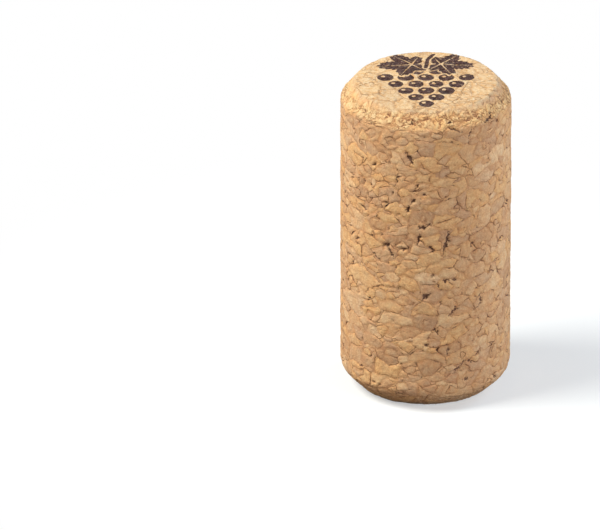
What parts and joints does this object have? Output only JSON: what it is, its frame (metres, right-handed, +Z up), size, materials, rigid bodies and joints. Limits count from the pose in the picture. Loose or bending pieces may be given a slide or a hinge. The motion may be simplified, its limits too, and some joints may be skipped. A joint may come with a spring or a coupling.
{
  "type": "cork stopper",
  "caption": "Straight-sided agglomerated cork stopper with bevelled ends, pressed into a bottle neck to seal it.",
  "frame": {"origin": "centre of the lower flat end, on the surface that the stopper stands on", "axes": "+Z up along the stopper's axis, towards the printed end; -Y towards the viewer, the side from which the printed mark reads upright"},
  "size_m": [0.023, 0.023, 0.044],
  "materials": {
    "cork": "matt agglomerated cork, ground, with a dark printed mark on the upper end"
  },
  "bodies": {
    "root": {"cork_stopper": "cork"}
  },
  "joints": []
}
